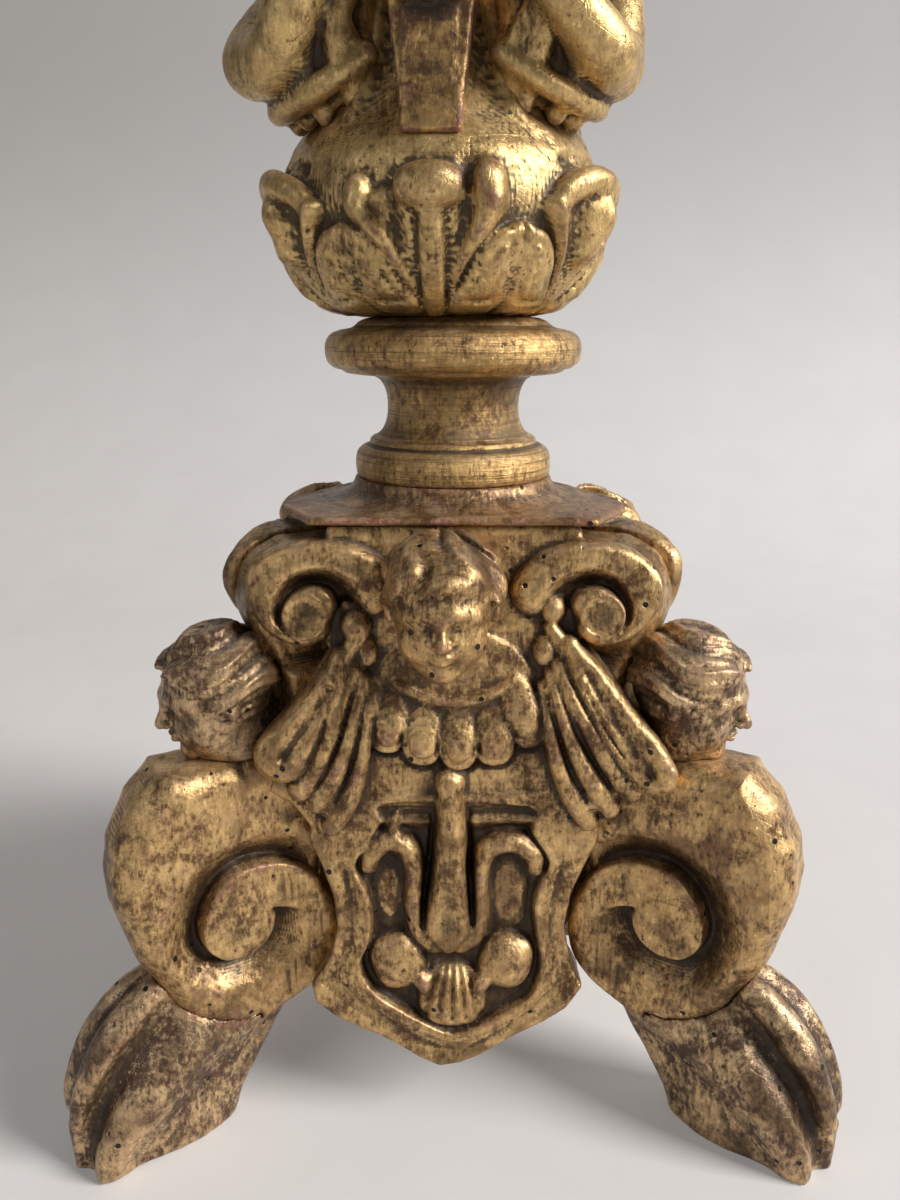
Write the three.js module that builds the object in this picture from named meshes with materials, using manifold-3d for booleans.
// A carved and water-gilded candle stand: a three-sided foot on lion paws, a turned collar, a leaf bulb
// with three half-length putti, a baluster, a leaf cup and a drip dish with an iron pricket.
// Millimetres, +Z up. The stem axis is x = y = 0 while building; one face of the foot looks along -Y.
import * as THREE from 'three';
import { mergeVertices } from 'three/addons/utils/BufferGeometryUtils.js';
import Module from 'manifold-3d';

const wasm = await Module();
wasm.setup();

// ---------------------------------------------------------------- driving dimensions

const FACES = 3; // faces, corners, paws, putti and straps alike
const GLUE = 0.3; // glue line left between two seated pieces
const FIT = 0.3; // play round a dowel or tenon, on the radius
const END_PLAY = 1.5; // empty depth past the end of a dowel or tenon

// Foot: core, panels and plinth
const FOOT_TOP = 279; // top of core and panels over the floor
const CORE_BOTTOM = 64;
const CORE_CORNER = 58; // axis to the flat that carries a console
const PANEL_TOP_OUT = 57; // axis to the panel's front at FOOT_TOP
const PANEL_LEAN = 5.15; // degrees, the foot widens downward
const PANEL_THICK = 26;
const SHIELD_TIP_Z = 31.5;
const SHIELD_TIP_X = -4; // the tip hangs a little left of the middle
const SHIELD_FLARE = 61; // half width at the lower corners
const SHIELD_FLARE_Z = 73;
const SHIELD_WAIST = 47;
const SHIELD_WAIST_Z = 103;
const FIELD_HALF = 40; // sunk field of the cartouche
const FIELD_TOP_Z = 160;
const FIELD_DEPTH = 5;
const WING_HALF = 77; // half span of the folded wings
const WING_TIP_Z = 178;
const FEATHERS = 4; // on each wing
const SCALES = 5; // round scales of the collar
const SCALE_RADIUS = 8.6;
const SCALE_RAISED = 6;
const COLLAR_SWING = 30; // radius of the row of scales
const COLLAR_Z = 218; // its centre
const PLINTH_HALF = 58; // half length of a long side
const PLINTH_OUT = 60; // axis to a long side
const PLINTH_RIM = 4.6;
const PLINTH_RISE = 7.4; // height of the hollow moulding
const PLINTH_SEAT = 47; // radius of the round seat for the collar

// Upper C-scrolls, cut on the panels
const CURL_X = 61; // face middle to the eye
const CURL_Z = 242.5;
const CURL_START = 14; // spiral radius under the eye
const CURL_GROWTH = 7.3; // added every quarter turn
const CURL_RAISED = 6; // in front of the panel
const CURL_EYE = 9;
const CURL_CHANNEL = 8; // width of the spiral channel

// Corner consoles
const CONSOLE_THICK = 38;
const NECK_THICK = 23; // upper part, between two C-scrolls
const NECK_OUT = 103; // reach of the upper part
const VOLUTE_IN = 74; // axis to the volute's inner side
const VOLUTE_OUT = 169; // axis to the shoulder
const VOLUTE_BOTTOM = 50;
const SHOULDER_Z = 180; // flat that the corner head sits on
const NECK_FOOT_Z = 221.5; // the console is thinner above this
const EYE_R = 118.5; // axis to the volute's eye
const EYE_Z = 104;
const EYE_BAND = 25; // eye centre to the middle of the channel
const CHANNEL_WIDE = 10;
const CHANNEL_DEEP = 7.5;

// Heads
const CHERUB_WIDE = 43;
const CHERUB_TALL = 56;
const CHERUB_DEEP = 46; // panel front to nose
const CHERUB_Z = 253.5; // middle of the head
const CORNER_HEAD_OUT = 147; // axis to nose
const CORNER_HEAD_TALL = 53;
const CORNER_HEAD_WIDE = 43;

// Paws
const PAW_HEEL = 113; // axis to the heel on the floor
const PAW_TOE = 200; // axis to the longest toe
const PAW_TOP_Z = 82;
const PAW_WIDE = 47;
const TOES = 4;
const TOE_RADIUS = 7.4;
const FOOT_DOWEL = 6; // radius of the hidden dowels
const FOOT_DOWEL_LONG = 46;

// Turned collar
const COLLAR_SEAT = 42.4;
const LOW_TORUS = 44.2;
const LOW_TORUS_TALL = 15;
const NECK_WAIST = 29.4;
const NECK_TALL = 28;
const HIGH_TORUS = 56.2;
const HIGH_TORUS_TALL = 18;
const COLLAR_TOP = 33;
const COLLAR_CAP = 8;
const COLLAR_TENON = 15;
const COLLAR_TENON_DOWN = 68;
const COLLAR_TENON_UP = 38;

// Figure block: leaf bulb and the bell that the putti lean on
const BULB_SHIFT = -5; // the bulb was glued off centre
const BULB_TURN = -3; // degrees, and a little turned
const BULB_WIDE = 66.5;
const BULB_TALL = 63;
const BELL_WAIST = 34;
const BELL_TALL = 175;
const LEAVES = 6;
const LEAF_WIDE = 44;
const LEAF_OUT = 77; // stem axis to the curled leaf tip
const STRAP_BOTTOM = 23.5; // width at the foot
const STRAP_TOP = 36;
const STRAP_TALL = 106;
const STRAP_OUT = 64;
const PUTTO_OUT = 62; // stem axis to the breast
const PUTTO_TALL = 164;
const PUTTO_HEAD = 23; // radius
const ELBOW_OUT = 76;

// Upper stem (above the picture)
const TENON = 12;
const TENON_LONG = 36;
const RING_WIDE = 50;
const RING_TALL = 24;
const VASE_WIDE = 53;
const VASE_TALL = 176;
const CUP_WIDE = 47;
const CUP_TALL = 104;
const DISH_WIDE = 98;
const DISH_TALL = 34;
const DISH_WALL = 8;
const BOSS_WIDE = 19;
const PAN_WIDE = 62;
const PAN_SHEET = 1.2;
const PRICKET_TALL = 74;
const PRICKET_WIDE = 5;
const PRICKET_TANG = 32;

const ROUND = 24; // facets round the collar and its bores
const STEM_ROUND = 18; // facets round the stem, a multiple of 6 so that the putti's sectors match

// ---------------------------------------------------------------- materials

const gilt = new THREE.MeshStandardMaterial({ color: 0xa98239, roughness: 0.42, metalness: 0.75 });
const wornGilt = new THREE.MeshStandardMaterial({ color: 0x7d5f38, roughness: 0.55, metalness: 0.45 });
const bareWood = new THREE.MeshStandardMaterial({ color: 0x8a6a45, roughness: 0.85, metalness: 0 });
const iron = new THREE.MeshStandardMaterial({ color: 0x3b3936, roughness: 0.6, metalness: 0.8 });

// ---------------------------------------------------------------- geometry helpers

const { degToRad, lerp } = THREE.MathUtils;

// A closed mesh becomes a solid, turned outward and without collapsed triangles.
function solid(source, place = new THREE.Matrix4()) {
  const bare = source.clone().applyMatrix4(place);
  bare.deleteAttribute('normal');
  bare.deleteAttribute('uv');
  const merged = mergeVertices(bare, 1e-4);
  const at = merged.getAttribute('position');
  const corner = (i) => new THREE.Vector3().fromBufferAttribute(at, i);
  const faces = [];
  let volume = 0;
  for (let i = 0; i < merged.index.count; i += 3) {
    const [a, b, c] = [0, 1, 2].map((k) => merged.index.getX(i + k));
    if (a === b || b === c || c === a) continue;
    faces.push([a, b, c]);
    volume += corner(a).dot(corner(b).cross(corner(c)));
  }
  const turned = volume < 0 ? faces.map(([a, b, c]) => [a, c, b]) : faces;
  return new wasm.Manifold(new wasm.Mesh({
    numProp: 3,
    vertProperties: new Float32Array(at.array),
    triVerts: new Uint32Array(turned.flat()),
  }));
}

function geometryOf(body) {
  const mesh = body.getMesh();
  const geometry = new THREE.BufferGeometry();
  geometry.setAttribute('position', new THREE.BufferAttribute(mesh.vertProperties, 3));
  geometry.setIndex(new THREE.BufferAttribute(mesh.triVerts, 1));
  geometry.computeVertexNormals();
  return geometry;
}

const joined = (bodies) => bodies.reduce((whole, body) => whole.add(body));

// Rings with the same number of points, skinned in order and closed at both ends.
function loft(rings) {
  const count = rings[0].length;
  const points = rings.flat();
  const index = [];
  for (let i = 0; i < rings.length - 1; i++) {
    for (let j = 0; j < count; j++) {
      const here = i * count + j;
      const next = i * count + ((j + 1) % count);
      index.push(here, next, next + count, here, next + count, here + count);
    }
  }
  const middle = (ring) => ring.reduce((sum, p) => sum.add(p), new THREE.Vector3()).divideScalar(count);
  const first = points.push(middle(rings[0])) - 1;
  const last = points.push(middle(rings.at(-1))) - 1;
  const lastRing = (rings.length - 1) * count;
  for (let j = 0; j < count; j++) {
    const next = (j + 1) % count;
    index.push(first, next, j, last, lastRing + j, lastRing + next);
  }
  const geometry = new THREE.BufferGeometry().setFromPoints(points);
  geometry.setIndex(index);
  return geometry;
}

// One ring of a loft: an ellipse about a centre, along two half axes.
function ellipse(centre, across, up, sides, start = 0) {
  const ring = [];
  for (let i = 0; i < sides; i++) {
    const turn = start + (i / sides) * 2 * Math.PI;
    ring.push(centre.clone().addScaledVector(across, Math.cos(turn)).addScaledVector(up, Math.sin(turn)));
  }
  return ring;
}

// A limb, feather or toe: round sections along a curve, with its own radius at each step.
function limb(points, radii, { sides = 7, steps = 7, flat = 1, normal = new THREE.Vector3(0, 0, 1) } = {}) {
  const curve = new THREE.CatmullRomCurve3(points);
  const rings = [];
  for (let i = 0; i <= steps; i++) {
    const share = i / steps;
    const along = share * (radii.length - 1);
    const low = Math.min(Math.floor(along), radii.length - 2);
    const radius = lerp(radii[low], radii[low + 1], along - low);
    const forward = curve.getTangent(share);
    const across = new THREE.Vector3().crossVectors(normal, forward).normalize().multiplyScalar(radius);
    const up = new THREE.Vector3().crossVectors(forward, across).normalize().multiplyScalar(radius * flat);
    rings.push(ellipse(curve.getPoint(share), across, up, sides));
  }
  return loft(rings);
}

// A low dome: pole along z, its foot a little under z = 0 so that it sinks into what carries it.
function dome(facets = 8) {
  const profile = [[0, 1], [0.66, 0.76], [1, 0], [0.9, -0.4], [0, -0.4]];
  return new THREE.LatheGeometry(profile.map(([r, z]) => v2(r, z)), facets).rotateX(Math.PI / 2);
}

function ball(centre, radii, across = 10, down = 6) {
  const place = new THREE.Matrix4().makeTranslation(centre).scale(radii);
  return solid(new THREE.SphereGeometry(1, across, down), place);
}

const v3 = (x, y, z) => new THREE.Vector3(x, y, z);
const v2 = (x, y) => new THREE.Vector2(x, y);

// The same outline, moved outward by a clearance.
function grown(points, by) {
  const area = THREE.ShapeUtils.area(points);
  return points.map((p, i) => {
    const before = points.at(i - 1);
    const after = points[(i + 1) % points.length];
    const along = after.clone().sub(before).normalize().multiplyScalar(Math.sign(area) * by);
    return v2(p.x + along.y, p.y - along.x);
  });
}

function extruded(points, from, to) {
  const shape = new THREE.Shape(points);
  const geometry = new THREE.ExtrudeGeometry(shape, { depth: to - from, bevelEnabled: false });
  return geometry.translate(0, 0, from);
}

function turned(profile, facets = STEM_ROUND) {
  return new THREE.LatheGeometry(profile, facets).rotateX(Math.PI / 2);
}

function rod(radius, from, to, facets) {
  const geometry = new THREE.CylinderGeometry(radius, radius, to - from, facets).rotateX(Math.PI / 2);
  return geometry.translate(0, 0, (from + to) / 2);
}

// Points on an arc of a profile, both ends included; angles in degrees from the radial direction.
function arc(r, z, wide, tall, from, to, steps) {
  const points = [];
  for (let i = 0; i <= steps; i++) {
    const turn = degToRad(lerp(from, to, i / steps));
    points.push(v2(r + wide * Math.cos(turn), z + tall * Math.sin(turn)));
  }
  return points;
}

// ---------------------------------------------------------------- frames of the foot

const lean = degToRad(PANEL_LEAN);
const panelOut = (z) => PANEL_TOP_OUT + (FOOT_TOP - z) * Math.tan(lean);

// Panel frame: x across, y up along the lean, z out of the panel's front. Panels and cherub heads are
// modelled in it and placed by it; offPanel brings a neighbour into it.
const panelFrame = new THREE.Group();
panelFrame.position.set(0, -PANEL_TOP_OUT, FOOT_TOP);
panelFrame.rotation.x = Math.PI / 2 - lean;
panelFrame.updateMatrix();
const offPanel = panelFrame.matrix.clone().invert();
const upPanel = (z) => (z - FOOT_TOP) / Math.cos(lean);

// Corner frame: x outward, y sideways, z up. The console's side view is drawn in x and z.
const sideView = new THREE.Matrix4().makeBasis(v3(1, 0, 0), v3(0, 0, 1), v3(0, -1, 0));
const cornerAngle = (k) => degToRad(-30 + (k * 360) / FACES);
const faceAngle = (k) => (k * 2 * Math.PI) / FACES;
const rotated = (angle) => new THREE.Matrix4().makeRotationZ(angle);

// ---------------------------------------------------------------- corner consoles

const volute = (u, w) => [lerp(VOLUTE_IN, VOLUTE_OUT, u), lerp(VOLUTE_BOTTOM, SHOULDER_Z, w)];

// Side view of the lower console: the shoulder's facets are straight knife cuts, the rest is round.
function consoleOutline() {
  const shoulder = [volute(0.6, 1), volute(0.88, 0.92), volute(1, 0.74), volute(1, 0.56)];
  const round = [
    volute(0.93, 0.35), volute(0.78, 0.16), volute(0.53, 0), volute(0.26, 0.02),
    volute(0.07, 0.13), volute(0, 0.3), volute(0.05, 0.46), volute(0.02, 0.62),
  ];
  const inner = CORE_CORNER + GLUE;
  const lower = new THREE.CatmullRomCurve3(round.map(([x, y]) => v3(x, y, 0)), false, 'centripetal');
  const lowerPoints = lower.getPoints(12).map((p) => v2(p.x, p.y));
  const crook = volute(0.19, 1)[0];
  const neckFoot = NECK_FOOT_Z - GLUE;
  const top = [v2(inner, volute(0, 0.72)[1]), v2(inner, neckFoot), v2(crook - 5, neckFoot)];
  const crookPoints = [
    v2(crook - 6, SHOULDER_Z + 31),
    v2(crook - 3, SHOULDER_Z + 14),
    v2(crook + 4, SHOULDER_Z),
  ];
  return [...shoulder.map(([x, y]) => v2(x, y)), ...lowerPoints, ...top, ...crookPoints];
}

function neckOutline() {
  const inner = CORE_CORNER + GLUE;
  const top = FOOT_TOP - 8;
  const middle = (top + SHOULDER_Z + 38) / 2;
  return [
    v2(inner, SHOULDER_Z + 20),
    v2(NECK_OUT - 17, SHOULDER_Z + 40),
    v2(NECK_OUT - 4, middle - 13),
    v2(NECK_OUT, middle + 3),
    v2(NECK_OUT - 6, top - 8),
    v2(NECK_OUT - 20, top),
    v2(inner, top),
  ];
}

function consoleBody(grow) {
  const half = CONSOLE_THICK / 2 + grow;
  const neck = NECK_THICK / 2 + grow;
  const lower = solid(extruded(grown(consoleOutline(), grow), -half, half), sideView);
  return lower.add(solid(extruded(grown(neckOutline(), grow), -neck, neck), sideView));
}

// Room that a console takes from its two panels: its whole thickness below, the neck's above.
function consoleRoom() {
  const box = (thick, from, to) => solid(new THREE.BoxGeometry(300, thick + 2 * GLUE, to - from),
    new THREE.Matrix4().makeTranslation(170, 0, (from + to) / 2));
  return box(CONSOLE_THICK, -10, NECK_FOOT_Z).add(box(NECK_THICK, SHOULDER_Z, FOOT_TOP + 10));
}

// The channel that winds from beside the eye under it and back over the top, tapering as it leaves.
function voluteChannel(side) {
  const rings = [];
  const steps = 13;
  const [from, to] = [190, 520];
  for (let i = 0; i <= steps; i++) {
    const share = i / steps;
    const turn = degToRad(lerp(from, to, share));
    const opening = Math.max(0, share - 0.62) / 0.38;
    const reach = EYE_BAND * (Math.min(1, 0.68 + share * 1.4) + 0.78 * opening * opening);
    const half = (CHANNEL_WIDE / 2) * Math.min(1, 0.55 + share * 2) * (1 - 0.5 * opening);
    const floor = CONSOLE_THICK / 2 - CHANNEL_DEEP * (1 - 0.35 * opening);
    const face = CONSOLE_THICK / 2 + 2;
    const at = (radius, across) => {
      const [out, up] = [radius * Math.cos(turn), radius * Math.sin(turn)];
      return v3(EYE_R + out, side * across, EYE_Z + up);
    };
    rings.push([
      at(reach - half, face),
      at(reach - half * 0.7, floor),
      at(reach + half * 0.7, floor),
      at(reach + half, face),
    ]);
  }
  return solid(loft(rings));
}

const consoleDowelZ = (SHOULDER_Z + EYE_Z) / 2 + 24;
const pawDowelR = EYE_R + 6;
const dowelAcross = new THREE.Matrix4().makeRotationY(Math.PI / 2);

function consoleDowelPlace() {
  return new THREE.Matrix4().makeTranslation(0, 0, consoleDowelZ).multiply(dowelAcross);
}

function consoleDowel(extra) {
  const radius = FOOT_DOWEL + extra;
  const half = FOOT_DOWEL_LONG / 2 + (extra ? END_PLAY : 0);
  return solid(rod(radius, CORE_CORNER - half, CORE_CORNER + half, 12), consoleDowelPlace());
}

function pawDowel(extra) {
  const half = FOOT_DOWEL_LONG / 2 + (extra ? END_PLAY : 0);
  const place = new THREE.Matrix4().makeTranslation(pawDowelR, 0, VOLUTE_BOTTOM);
  return solid(rod(FOOT_DOWEL + extra, -half, half, 12), place);
}

function cornerConsole() {
  return consoleBody(0)
    .subtract(voluteChannel(1))
    .subtract(voluteChannel(-1))
    .subtract(consoleDowel(FIT))
    .subtract(pawDowel(FIT));
}

// ---------------------------------------------------------------- paws

// Cross-sections stand upright across the foot; the sole is then cut flat on the floor.
function pawFoot() {
  const reach = (share) => lerp(PAW_HEEL, PAW_TOE, share);
  const sections = [ // share of the length, lowest z, highest z, share of the half width
    [-0.34, 46, 62, 0.55],
    [-0.16, 18, 74, 0.72],
    [0.04, -12, 84, 0.8],
    [0.3, -14, PAW_TOP_Z + 9, 0.84],
    [0.56, -14, PAW_TOP_Z + 2, 0.86],
    [0.74, -12, PAW_TOP_Z - 14, 0.84],
    [0.9, -8, PAW_TOP_Z - 36, 0.72],
  ];
  const body = sections.map(([share, low, high, wide]) => ellipse(
    v3(reach(share), 0, (low + high) / 2),
    v3(0, (wide * PAW_WIDE) / 2, 0),
    v3(0, 0, (high - low) / 2),
    10,
  ));
  const toes = [];
  const pitch = (PAW_WIDE - 2 * TOE_RADIUS) / (TOES - 1);
  for (let i = 0; i < TOES; i++) {
    const side = (i - (TOES - 1) / 2) * pitch;
    const back = Math.abs(side) * 0.42;
    const points = [
      v3(reach(0.55) - back, side * 0.82, PAW_TOP_Z - 12),
      v3(reach(0.8) - back, side * 0.95, PAW_TOP_Z - 27),
      v3(PAW_TOE - TOE_RADIUS - back, side, PAW_TOP_Z - 48),
      v3(PAW_TOE - TOE_RADIUS - back, side, TOE_RADIUS + 2),
      v3(PAW_TOE - 2.4 * TOE_RADIUS - back, side, -4),
    ];
    const radii = [0.7, 1, 1, 1, 0.8].map((share) => share * TOE_RADIUS);
    toes.push(solid(limb(points, radii, { sides: 5, steps: 5, normal: v3(0, 1, 0) })));
  }
  const under = new THREE.BoxGeometry(400, 200, 60).translate(PAW_HEEL, 0, -30);
  const underFloor = solid(under);
  return solid(loft(body))
    .add(joined(toes))
    .subtract(underFloor)
    .subtract(consoleBody(GLUE))
    .subtract(pawDowel(FIT));
}

// ---------------------------------------------------------------- heads

// A figurehead thrust outward from the console: upright sections from the nape to the nose.
function cornerHead() {
  const back = volute(0.19, 1)[0] - 3;
  const out = (share) => lerp(back, CORNER_HEAD_OUT, share);
  const up = (share) => SHOULDER_Z + share * CORNER_HEAD_TALL;
  const sections = [ // share of the length, lowest, highest, share of the half width
    [0, 0.12, 0.62, 0.55],
    [0.16, 0.0, 0.86, 0.82],
    [0.38, -0.1, 1, 1],
    [0.6, -0.1, 1, 0.98],
    [0.8, -0.04, 0.9, 0.8],
    [0.9, 0.02, 0.78, 0.62],
    [0.96, 0.12, 0.62, 0.36],
    [1, 0.36, 0.48, 0.12],
  ];
  const rings = sections.map(([share, low, high, wide]) => ellipse(
    v3(out(share), 0, up((low + high) / 2)),
    v3(0, (wide * CORNER_HEAD_WIDE) / 2, 0),
    v3(0, 0, ((high - low) * CORNER_HEAD_TALL) / 2),
    12,
  ));
  return solid(loft(rings)).subtract(consoleBody(GLUE));
}

// Level sections from chin to crown; the back is planed off to lie on the panel.
function cherubHead() {
  const half = CHERUB_WIDE / 2;
  const sections = [ // share of the height, half width, front of the section, both as shares
    [0, 0.3, 0.84],
    [0.05, 0.5, 0.93],
    [0.16, 0.78, 0.94],
    [0.3, 0.94, 0.93],
    [0.42, 0.98, 0.97],
    [0.52, 0.97, 0.9],
    [0.68, 1, 0.95],
    [0.84, 0.9, 0.86],
    [0.95, 0.6, 0.66],
    [1, 0.24, 0.45],
  ];
  const rings = sections.map(([share, wide, front]) => ellipse(
    v3(0, upPanel(CHERUB_Z + (share - 0.5) * CHERUB_TALL), (front * CHERUB_DEEP) / 2 - 2),
    v3(wide * half, 0, 0),
    v3(0, 0, (front * CHERUB_DEEP) / 2 + 2),
    11,
  ));
  const nose = limb(
    [v3(0, upPanel(CHERUB_Z + 2), 0.88 * CHERUB_DEEP), v3(0, upPanel(CHERUB_Z - 6), 0.94 * CHERUB_DEEP)],
    [2, 4],
    { sides: 5, steps: 2 },
  );
  const behind = extruded([v2(-60, -260), v2(60, -260), v2(60, 60), v2(-60, 60)], -60, GLUE);
  return solid(loft(rings))
    .add(solid(nose))
    .subtract(solid(behind))
    .subtract(solid(geometryOf(plinthBody(GLUE)), offPanel));
}

// ---------------------------------------------------------------- face panels

// The top edge stands above FOOT_TOP; the sector trims it level.
function panelOutline() {
  const right = [
    [CURL_X - 11, FOOT_TOP + 5],
    [CURL_X - 4, CURL_Z + 10],
    [CURL_X - 4, CURL_Z - 16],
    [lerp(CURL_X, WING_HALF, 0.45), lerp(CURL_Z, WING_TIP_Z, 0.66)],
    [WING_HALF, WING_TIP_Z],
    [WING_HALF - 6, WING_TIP_Z - 13],
    [SHIELD_WAIST + 8, SHIELD_WAIST_Z + 46],
    [SHIELD_WAIST + 1, SHIELD_WAIST_Z + 26],
    [SHIELD_WAIST, SHIELD_WAIST_Z],
    [SHIELD_WAIST + 4, SHIELD_WAIST_Z - 15],
    [SHIELD_FLARE, SHIELD_FLARE_Z],
    [SHIELD_FLARE - 9, SHIELD_FLARE_Z - 14],
    [SHIELD_FLARE - 27, SHIELD_FLARE_Z - 24],
    [SHIELD_FLARE - 47, SHIELD_FLARE_Z - 32],
  ];
  const left = right.map(([x, z]) => [-x, z]).reverse();
  const all = [...right, [SHIELD_TIP_X, SHIELD_TIP_Z], ...left];
  return all.map(([x, z]) => v2(x, upPanel(z)));
}

function fieldOutline() {
  const right = [
    [FIELD_HALF - 9, FIELD_TOP_Z],
    [FIELD_HALF - 6, FIELD_TOP_Z - 14],
    [FIELD_HALF, FIELD_TOP_Z - 24],
    [FIELD_HALF - 5, FIELD_TOP_Z - 34],
    [FIELD_HALF - 3, FIELD_TOP_Z - 60],
    [FIELD_HALF - 4, FIELD_TOP_Z - 76],
    [FIELD_HALF - 18, FIELD_TOP_Z - 92],
    [0, FIELD_TOP_Z - 108],
  ];
  const left = right.slice(0, -1).map(([x, z]) => [-x, z]).reverse();
  return [...right, ...left].map(([x, z]) => v2(x, upPanel(z)));
}

// Radius of a C-scroll's outer spiral; the turn is in degrees from straight down, over the outer side.
const curlRadius = (turn) => CURL_START + (CURL_GROWTH * turn) / 90;
function curlPoint(side, turn, radius) {
  const angle = degToRad(turn - 90);
  return v2(side * (CURL_X + radius * Math.cos(angle)), upPanel(CURL_Z) + radius * Math.sin(angle));
}

function curl(side) {
  const turns = [-50, -10, 30, 66, 102, 138, 174, 206, 236, 262];
  const rim = turns.map((turn) => curlPoint(side, turn, curlRadius(turn)));
  const hook = [curlPoint(side, 272, curlRadius(262) - 5), curlPoint(side, 270, curlRadius(262) - 12)];
  const body = solid(extruded([...rim, ...hook], 1 - PANEL_THICK, CURL_RAISED));
  const rings = [];
  const steps = 7;
  for (let i = 0; i <= steps; i++) {
    const turn = lerp(-5, 285, i / steps);
    const middle = CURL_EYE + CURL_CHANNEL / 2 + Math.max(0, turn - 60) * 0.055;
    const half = (CURL_CHANNEL / 2) * Math.min(1, 0.3 + i / 3);
    const inner = curlPoint(side, turn, middle - half);
    const outer = curlPoint(side, turn, middle + half);
    const [deep, top] = [CURL_RAISED - 6.5, CURL_RAISED + 2];
    rings.push([v3(inner.x, inner.y, top), v3(inner.x, inner.y, deep), v3(outer.x, outer.y, deep),
      v3(outer.x, outer.y, top)]);
  }
  return body.subtract(solid(loft(rings)));
}

// One folded wing: a fan of feathers side by side, each a rounded ridge, spreading from the cherub's neck.
function wing(side) {
  const levels = [ // along the feathers: outer edge and inner edge (x and z), then the ridges' height
    [[43, 226], [31, 207], 2.5],
    [[58, 206], [36, 186], 5],
    [[70, 190], [42, 166], 6],
    [[WING_HALF - 1, WING_TIP_Z], [49, 147], 3],
  ];
  const rings = levels.map(([[outX, outZ], [inX, inZ], high]) => {
    const ring = [];
    for (let i = 0; i <= 2 * FEATHERS; i++) {
      const share = i / (2 * FEATHERS);
      const ridge = i % 2 === 1 ? high : high * 0.25;
      ring.push(v3(side * lerp(outX, inX, share), upPanel(lerp(outZ, inZ, share)), ridge));
    }
    return [...ring, v3(side * inX, upPanel(inZ), -5), v3(side * outX, upPanel(outZ), -5)];
  });
  return solid(loft(rings));
}

function scaleCollar() {
  const scales = [];
  for (let i = 0; i < SCALES; i++) {
    const swing = degToRad(lerp(-62, 62, i / (SCALES - 1)));
    const x = COLLAR_SWING * Math.sin(swing);
    const z = COLLAR_Z - COLLAR_SWING * Math.cos(swing);
    const place = v3(x, upPanel(z), 0);
    const radii = v3(SCALE_RADIUS, SCALE_RADIUS * 1.3, SCALE_RAISED);
    const shape = new THREE.Matrix4().makeTranslation(place).multiply(rotated(swing)).scale(radii);
    scales.push(solid(dome(), shape));
  }
  return joined(scales);
}

// Ornament in the sunk field: a stem with a rounded foot, two hooked sprays, two bosses and a bud.
function fieldOrnament() {
  const floor = -FIELD_DEPTH;
  const top = FIELD_TOP_Z;
  const stem = [[-8, top + 12], [6, top + 12], [10, top - 40], [11, top - 60], [0, top - 70], [-12, top - 60],
    [-10, top - 40]].map(([x, z]) => v2(x, upPanel(z)));
  const parts = [solid(extruded(stem, floor - 1, 1.5))];
  for (const side of [-1, 1]) {
    const spray = [v3(side * 12, upPanel(top - 58), floor + 1), v3(side * 17, upPanel(top - 34), floor + 3),
      v3(side * 25, upPanel(top - 19), floor + 3), v3(side * 35, upPanel(top - 26), floor + 1)];
    parts.push(solid(limb(spray, [5, 6, 5, 3], { sides: 5, steps: 3 })));
    const boss = v3(side * 22, upPanel(top - 76), floor);
    const shape = new THREE.Matrix4().makeTranslation(boss).scale(v3(11, 11, 9));
    parts.push(solid(dome(), shape));
  }
  const bud = v3(-1, upPanel(top - 90), floor);
  const shape = new THREE.Matrix4().makeTranslation(bud).scale(v3(14, 15, 9));
  parts.push(solid(dome(), shape));
  return joined(parts);
}

// The third of the foot that belongs to the front face, cut at the mitres between the faces.
function faceSector() {
  const far = 200;
  const wide = far * Math.sqrt(3) - GLUE;
  const plan = [v2(0, -GLUE / Math.sqrt(3)), v2(-wide, -far), v2(wide, -far)];
  return solid(extruded(plan, -20, FOOT_TOP), offPanel);
}

function facePanel() {
  let panel = solid(extruded(panelOutline(), -PANEL_THICK, 0));
  panel = panel.add(curl(1)).add(curl(-1));
  panel = panel.subtract(solid(extruded(fieldOutline(), -FIELD_DEPTH, 20)));
  panel = panel.add(fieldOrnament()).add(scaleCollar()).add(wing(1)).add(wing(-1));
  panel = panel.intersect(faceSector());
  for (const angle of [-30, -150]) {
    const place = offPanel.clone().multiply(rotated(degToRad(angle)));
    panel = panel.subtract(solid(geometryOf(consoleRoom()), place));
  }
  return panel;
}

// ---------------------------------------------------------------- core and plinth

// Hexagon with long sides toward the faces and short ones toward the corners.
function hexagon(toFace, toCorner, z) {
  const points = [];
  for (let k = 0; k < FACES; k++) {
    const half = (toCorner - toFace / 2) / Math.cos(Math.PI / 6);
    for (const side of [-1, 1]) points.push(v3(side * half, -toFace, z).applyMatrix4(rotated(faceAngle(k))));
  }
  return points;
}

function footCore() {
  const backOut = (z) => panelOut(z) - PANEL_THICK / Math.cos(lean) - GLUE;
  const body = solid(loft([
    hexagon(backOut(CORE_BOTTOM), CORE_CORNER, CORE_BOTTOM),
    hexagon(backOut(FOOT_TOP), CORE_CORNER, FOOT_TOP),
  ]));
  const boreBottom = collarZ - COLLAR_TENON_DOWN - END_PLAY;
  let core = body.subtract(solid(rod(COLLAR_TENON + FIT, boreBottom, FOOT_TOP + 1, ROUND)));
  for (let k = 0; k < FACES; k++) {
    core = core.subtract(solid(geometryOf(consoleDowel(FIT)), rotated(cornerAngle(k))));
  }
  return core;
}

const plinthZ = FOOT_TOP + GLUE;
const collarZ = plinthZ + PLINTH_RIM + PLINTH_RISE + GLUE;

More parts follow.
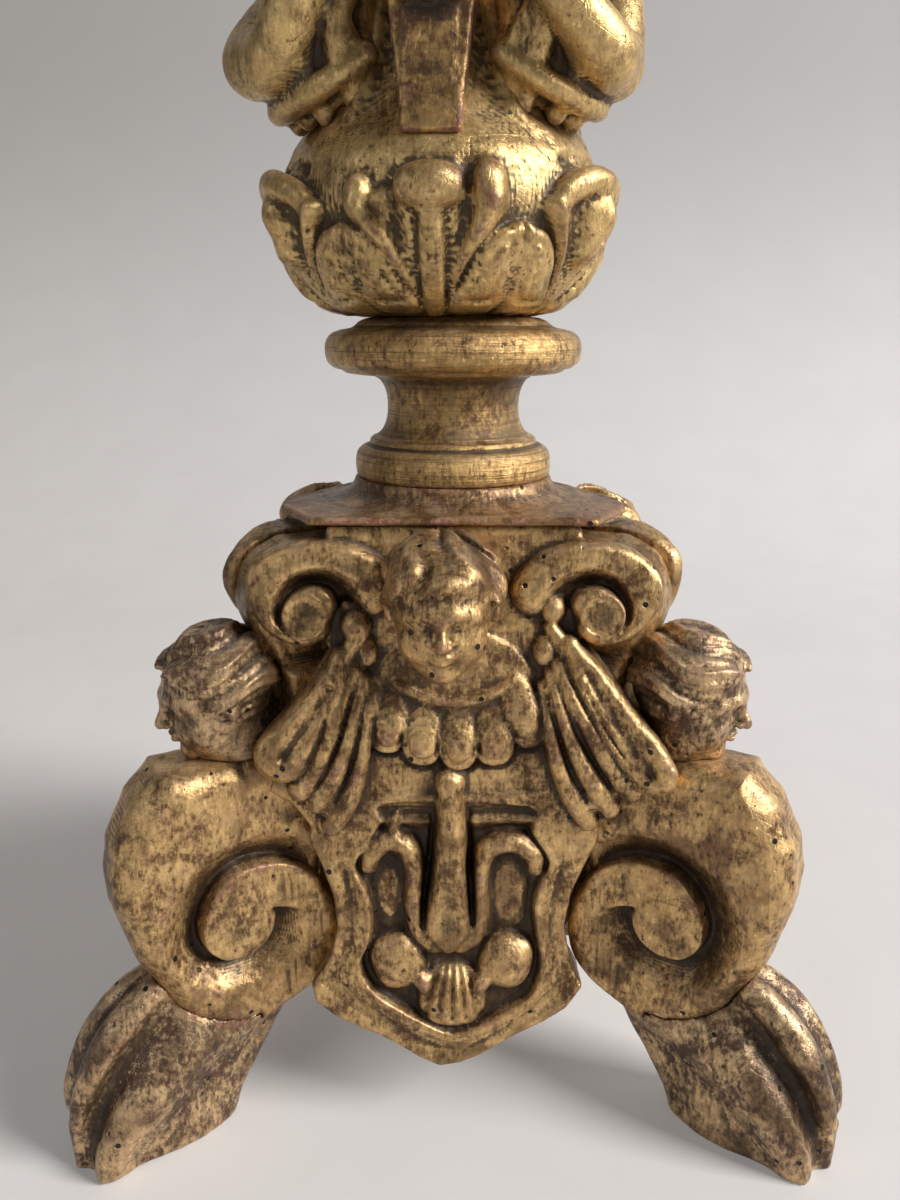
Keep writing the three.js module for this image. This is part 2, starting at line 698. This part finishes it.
// The rim is a hexagon; a hollow moulding carries it up to the round seat.
function plinthBody(grow) {
  const toFace = PLINTH_OUT + grow;
  const toCorner = PLINTH_OUT / 2 + PLINTH_HALF * Math.cos(Math.PI / 6) + grow;
  const corners = hexagon(toFace, toCorner, 0);
  const cuts = [4, 2]; // pieces of each long and each short side
  const edge = corners.flatMap((from, i) => {
    const to = corners[(i + 1) % corners.length];
    return Array.from({ length: cuts[i % 2] }, (_, j) => from.clone().lerp(to, j / cuts[i % 2]));
  });
  const toSeat = (p, share) => p.clone().lerp(p.clone().setLength(PLINTH_SEAT), share);
  const level = (share, z) => edge.map((p) => toSeat(p, share).setZ(z));
  const rimTop = plinthZ + PLINTH_RIM;
  const rings = [level(0, plinthZ - grow), level(0, rimTop)];
  for (const share of [0.35, 0.7, 1]) rings.push(level(share, rimTop + PLINTH_RISE * share * share));
  return solid(loft(rings));
}

const plinth = () => plinthBody(0).subtract(solid(rod(COLLAR_TENON + FIT, plinthZ - 1, collarZ + 1, ROUND)));

// ---------------------------------------------------------------- turned collar

function turnedCollar() {
  const low = collarZ + LOW_TORUS_TALL / 2;
  const neck = collarZ + LOW_TORUS_TALL;
  const high = neck + NECK_TALL + HIGH_TORUS_TALL / 2;
  const cap = high + HIGH_TORUS_TALL / 2;
  const top = cap + COLLAR_CAP;
  const bulge = LOW_TORUS - COLLAR_SEAT + 4;
  return solid(turned([
    v2(0, collarZ - COLLAR_TENON_DOWN),
    v2(COLLAR_TENON, collarZ - COLLAR_TENON_DOWN),
    v2(COLLAR_TENON, collarZ),
    ...arc(LOW_TORUS - bulge, low, bulge, LOW_TORUS_TALL / 2, -90, 90, 4),
    v2(NECK_WAIST + 7.6, neck + 2.4),
    v2(NECK_WAIST + 2, neck + 7),
    v2(NECK_WAIST, neck + 16),
    v2(NECK_WAIST + 4.6, neck + NECK_TALL - 3),
    v2(HIGH_TORUS - 8, neck + NECK_TALL),
    ...arc(HIGH_TORUS - 9, high, 9, HIGH_TORUS_TALL / 2, -70, 70, 4),
    v2(COLLAR_TOP + 5, cap + COLLAR_CAP - 3),
    v2(COLLAR_TOP, top),
    v2(COLLAR_TENON, top),
    v2(COLLAR_TENON, top + COLLAR_TENON_UP),
    v2(0, top + COLLAR_TENON_UP),
  ], ROUND));
}

const collarTopZ = collarZ + LOW_TORUS_TALL + NECK_TALL + HIGH_TORUS_TALL + COLLAR_CAP;

// ---------------------------------------------------------------- figure block

const bulbZ = collarTopZ + GLUE;
const bellTopZ = bulbZ + BULB_TALL + BELL_TALL;

// Bowl and bell in one turned outline, grown by a clearance for the pieces that are seated on it.
function bellProfile(grow) {
  const z = (share) => bulbZ + BULB_TALL * share;
  const bell = (share) => bulbZ + BULB_TALL + BELL_TALL * share;
  const r = (share) => BULB_WIDE * share + grow;
  const waist = (extra) => BELL_WAIST + extra + grow;
  return [
    v2(0, bulbZ - grow),
    v2(r(0.57), bulbZ - grow),
    v2(r(0.7), z(0.07)),
    v2(r(0.88), z(0.28)),
    v2(r(0.98), z(0.52)),
    v2(r(1), z(0.74)),
    v2(r(0.92), z(1)),
    v2(waist(17), bell(0.12)),
    v2(waist(8), bell(0.3)),
    v2(waist(0), bell(0.6)),
    v2(waist(1), bell(0.86)),
    v2(waist(6), bell(0.94)),
    v2(waist(6), bellTopZ),
    v2(0, bellTopZ),
  ];
}

// An acanthus leaf hugs the bowl, then its tip curls outward and over.
function leaf(k) {
  const at = (out, share) => v3(0, -out, bulbZ + BULB_TALL * share);
  const spine = [
    [BULB_WIDE * 0.68, 0.06, 0.3, 5], [BULB_WIDE * 0.9, 0.3, 0.75, 6], [BULB_WIDE, 0.52, 1, 6],
    [LEAF_OUT - 5, 0.72, 0.75, 6], [LEAF_OUT, 0.76, 0.42, 5],
  ];
  const rings = spine.map(([out, share, wide, thick]) => ellipse(
    at(out, share),
    v3((wide * LEAF_WIDE) / 2, 0, 0),
    v3(0, -thick * 0.75, thick * 0.65),
    6,
  ));
  return solid(loft(rings), rotated((k * 2 * Math.PI) / LEAVES));
}

function figureBlock() {
  let block = solid(turned(bellProfile(0)));
  for (let k = 0; k < LEAVES; k++) block = block.add(leaf(k));
  const socket = rod(COLLAR_TENON + FIT, bulbZ - 1, collarTopZ + COLLAR_TENON_UP + END_PLAY, ROUND);
  const onStand = new THREE.Matrix4().makeTranslation(-BULB_SHIFT, 0, 0);
  const unturned = rotated(degToRad(-BULB_TURN)).multiply(onStand);
  block = block.subtract(solid(socket, unturned));
  const bore = rod(TENON + FIT, bellTopZ - TENON_LONG - END_PLAY, bellTopZ + 1, STEM_ROUND);
  return block.subtract(solid(bore));
}

// A flat strap, narrow at the foot, that stands off the bell between two putti.
function strapBody(grow) {
  const foot = bulbZ + BULB_TALL - 1 - grow;
  const levels = [0, 0.04, 0.4, 1];
  const rings = levels.map((share) => {
    const half = lerp(STRAP_BOTTOM, STRAP_TOP, Math.min(1, share * 1.4)) / 2 + grow;
    const out = STRAP_OUT - (share === 0 ? 2 : 0) + grow - 6 * share;
    const z = foot + (STRAP_TALL + 2 * grow) * share;
    return [
      v3(-half, 0, z),
      v3(half, 0, z),
      v3(half, 1.5 - out, z),
      v3(half - 3, -out, z),
      v3(3 - half, -out, z),
      v3(-half, 1.5 - out, z),
    ];
  });
  return loft(rings);
}

const strap = () => solid(strapBody(0)).subtract(solid(turned(bellProfile(GLUE))));

// Half-length child: hips hidden in the drapery, one arm down to the strap, the other raised.
function putto() {
  const foot = bulbZ + BULB_TALL + 6;
  const up = (share) => foot + PUTTO_TALL * share;
  const head = v3(0, -PUTTO_OUT + PUTTO_HEAD * 0.7, up(1) - PUTTO_HEAD * 1.05);
  const back = 12; // buried in the bell, which is then cut away
  const sections = [ // share of the height, half width, how far it stands before the breast
    [0, 12, -8],
    [0.08, 24, 4],
    [0.2, 27, 8],
    [0.34, 25, 4],
    [0.5, 27, 0],
    [0.62, 25, -4],
    [0.7, 11, -14],
    [0.76, 10, -14],
  ];
  const rings = sections.map(([share, wide, front]) => ellipse(
    v3(0, -(PUTTO_OUT + front + back) / 2, up(share)),
    v3(wide, 0, 0),
    v3(0, -(PUTTO_OUT + front - back) / 2, 0),
    10,
  ));
  const torso = solid(loft(rings));
  const lowArm = limb([
    v3(22, -PUTTO_OUT + 14, up(0.58)), v3(20, -ELBOW_OUT + 4, up(0.34)), v3(8, -ELBOW_OUT, up(0.12)),
    v3(-14, -ELBOW_OUT + 6, up(0.16)), v3(-34, -ELBOW_OUT + 22, up(0.32)),
  ], [9, 12, 13, 11, 8], { sides: 6, steps: 8, normal: v3(0, 0, 1) });
  const highArm = limb([
    v3(-20, -PUTTO_OUT + 16, up(0.58)),
    v3(-38, -PUTTO_OUT + 12, up(0.68)),
    v3(-36, -PUTTO_OUT + 20, up(0.95)),
  ], [8, 9, 7.5, 6.5], { sides: 6, steps: 4, normal: v3(0, 1, 0) });
  let figure = torso.add(ball(head, v3(PUTTO_HEAD * 0.92, PUTTO_HEAD * 0.95, PUTTO_HEAD), 9, 6));
  figure = figure.add(solid(lowArm)).add(solid(highArm));
  figure = figure.subtract(solid(turned(bellProfile(GLUE))));
  for (const side of [-1, 1]) {
    figure = figure.subtract(solid(strapBody(GLUE), rotated((side * Math.PI) / FACES)));
  }
  return figure;
}

// ---------------------------------------------------------------- upper stem

const ringZ = bellTopZ + GLUE;
const vaseZ = ringZ + RING_TALL;
const cupZ = vaseZ + VASE_TALL + GLUE;
const dishZ = cupZ + CUP_TALL + GLUE;

function upperBaluster() {
  const z = (share) => vaseZ + VASE_TALL * share;
  return solid(turned([
    v2(0, ringZ - TENON_LONG),
    v2(TENON, ringZ - TENON_LONG),
    v2(TENON, ringZ),
    ...arc(RING_WIDE - 8, ringZ + RING_TALL / 2, 8, RING_TALL / 2, -90, 90, 4),
    v2(VASE_WIDE * 0.55, z(0.03)),
    v2(VASE_WIDE * 0.62, z(0.1)),
    v2(VASE_WIDE * 0.9, z(0.22)),
    v2(VASE_WIDE, z(0.36)),
    v2(VASE_WIDE * 0.9, z(0.52)),
    v2(VASE_WIDE * 0.62, z(0.7)),
    v2(VASE_WIDE * 0.48, z(0.86)),
    v2(VASE_WIDE * 0.46, z(0.92)),
    v2(VASE_WIDE * 0.64, z(0.95)),
    v2(VASE_WIDE * 0.64, z(1)),
    v2(TENON + FIT, z(1)),
    v2(TENON + FIT, z(1) - TENON_LONG - END_PLAY),
    v2(0, z(1) - TENON_LONG - END_PLAY),
  ]));
}

function leafCup() {
  const z = (share) => cupZ + CUP_TALL * share;
  return solid(turned([
    v2(0, cupZ - TENON_LONG),
    v2(TENON, cupZ - TENON_LONG),
    v2(TENON, cupZ),
    v2(CUP_WIDE * 0.74, cupZ),
    v2(CUP_WIDE * 0.82, z(0.06)),
    v2(CUP_WIDE * 0.7, z(0.14)),
    v2(CUP_WIDE * 0.48, z(0.2)),
    v2(CUP_WIDE * 0.44, z(0.36)),
    v2(CUP_WIDE * 0.6, z(0.46)),
    v2(CUP_WIDE * 0.84, z(0.56)),
    v2(CUP_WIDE * 0.92, z(0.72)),
    v2(CUP_WIDE * 0.86, z(0.84)),
    v2(CUP_WIDE, z(1)),
    v2(TENON + FIT, z(1)),
    v2(TENON + FIT, z(1) - TENON_LONG - END_PLAY),
    v2(0, z(1) - TENON_LONG - END_PLAY),
  ]));
}

const bossZ = dishZ + DISH_TALL * 0.68;
const tangBottom = bossZ - PRICKET_TANG;

function dripDish() {
  const floor = dishZ + DISH_WALL + 4;
  return solid(turned([
    v2(0, dishZ - TENON_LONG),
    v2(TENON, dishZ - TENON_LONG),
    v2(TENON, dishZ),
    v2(CUP_WIDE - 3, dishZ),
    v2(CUP_WIDE + 6, dishZ + 6),
    v2(DISH_WIDE - 8, dishZ + DISH_TALL * 0.62),
    v2(DISH_WIDE, dishZ + DISH_TALL * 0.76),
    v2(DISH_WIDE, dishZ + DISH_TALL * 0.94),
    v2(DISH_WIDE - 3, dishZ + DISH_TALL),
    v2(DISH_WIDE - DISH_WALL, dishZ + DISH_TALL * 0.94),
    v2(DISH_WIDE - DISH_WALL - 6, floor + 8),
    v2(CUP_WIDE, floor),
    v2(BOSS_WIDE + 4, floor),
    v2(BOSS_WIDE, bossZ),
    v2(PRICKET_WIDE + FIT, bossZ),
    v2(PRICKET_WIDE + FIT, tangBottom - END_PLAY),
    v2(0, tangBottom - END_PLAY),
  ]));
}

const panZ = bossZ + GLUE;

// Sheet-metal pan on the boss; it catches the wax and has a turned-up edge.
function dripPan() {
  const bore = PRICKET_WIDE + FIT;
  return solid(turned([
    v2(bore, panZ),
    v2(PAN_WIDE - 6, panZ),
    v2(PAN_WIDE, panZ + 7),
    v2(PAN_WIDE - PAN_SHEET, panZ + 7),
    v2(PAN_WIDE - 6 - PAN_SHEET, panZ + PAN_SHEET),
    v2(bore, panZ + PAN_SHEET),
    v2(bore, panZ),
  ]));
}

function pricket() {
  const seat = panZ + PAN_SHEET + GLUE;
  return solid(turned([
    v2(0, tangBottom),
    v2(PRICKET_WIDE * 0.6, tangBottom),
    v2(PRICKET_WIDE, tangBottom + 10),
    v2(PRICKET_WIDE, seat),
    v2(PRICKET_WIDE * 2.2, seat),
    v2(PRICKET_WIDE * 2.2, seat + 2.5),
    v2(PRICKET_WIDE * 0.95, seat + 6),
    v2(PRICKET_WIDE * 0.7, seat + PRICKET_TALL * 0.6),
    v2(PRICKET_WIDE * 0.12, seat + PRICKET_TALL),
    v2(0, seat + PRICKET_TALL),
  ], 12));
}

// ---------------------------------------------------------------- assembly

const group = new THREE.Group();
const stand = new THREE.Group();
group.add(stand);

function add(parent, name, body, material) {
  const mesh = new THREE.Mesh(geometryOf(body), material);
  mesh.name = name;
  parent.add(mesh);
}

function ring(parent, angleOf, pieces, frame = new THREE.Group()) {
  for (let k = 0; k < FACES; k++) {
    const sector = new THREE.Group();
    const inner = frame.clone();
    sector.rotation.z = angleOf(k);
    sector.add(inner);
    for (const [name, body, material] of pieces) add(inner, `${name}_${k + 1}`, body, material);
    parent.add(sector);
  }
}

add(stand, 'foot_core', footCore(), bareWood);
add(stand, 'plinth', plinth(), wornGilt);
add(stand, 'turned_collar', turnedCollar(), wornGilt);
ring(stand, faceAngle, [['face_panel', facePanel(), gilt], ['cherub_head', cherubHead(), gilt]], panelFrame);
ring(stand, cornerAngle, [
  ['corner_console', cornerConsole(), gilt],
  ['console_dowel', consoleDowel(0), bareWood],
  ['corner_head', cornerHead(), gilt],
  ['paw_foot', pawFoot(), gilt],
  ['paw_dowel', pawDowel(0), bareWood],
]);

const stem = new THREE.Group();
stem.position.x = BULB_SHIFT;
stem.rotation.z = degToRad(BULB_TURN);
stand.add(stem);
add(stem, 'figure_block', figureBlock(), gilt);
ring(stem, faceAngle, [['strap', strap(), gilt]]);
ring(stem, (k) => faceAngle(k) + Math.PI / FACES, [['putto', putto(), gilt]]);
add(stem, 'upper_baluster', upperBaluster(), gilt);
add(stem, 'leaf_cup', leafCup(), gilt);
add(stem, 'drip_dish', dripDish(), wornGilt);
add(stem, 'drip_pan', dripPan(), iron);
add(stem, 'pricket', pricket(), iron);

// The origin is the middle of the bounding box, on the floor.
stand.updateMatrixWorld(true);
const box = new THREE.Box3().setFromObject(stand, true);
stand.position.set(-(box.min.x + box.max.x) / 2, -(box.min.y + box.max.y) / 2, -box.min.z);

export default group;
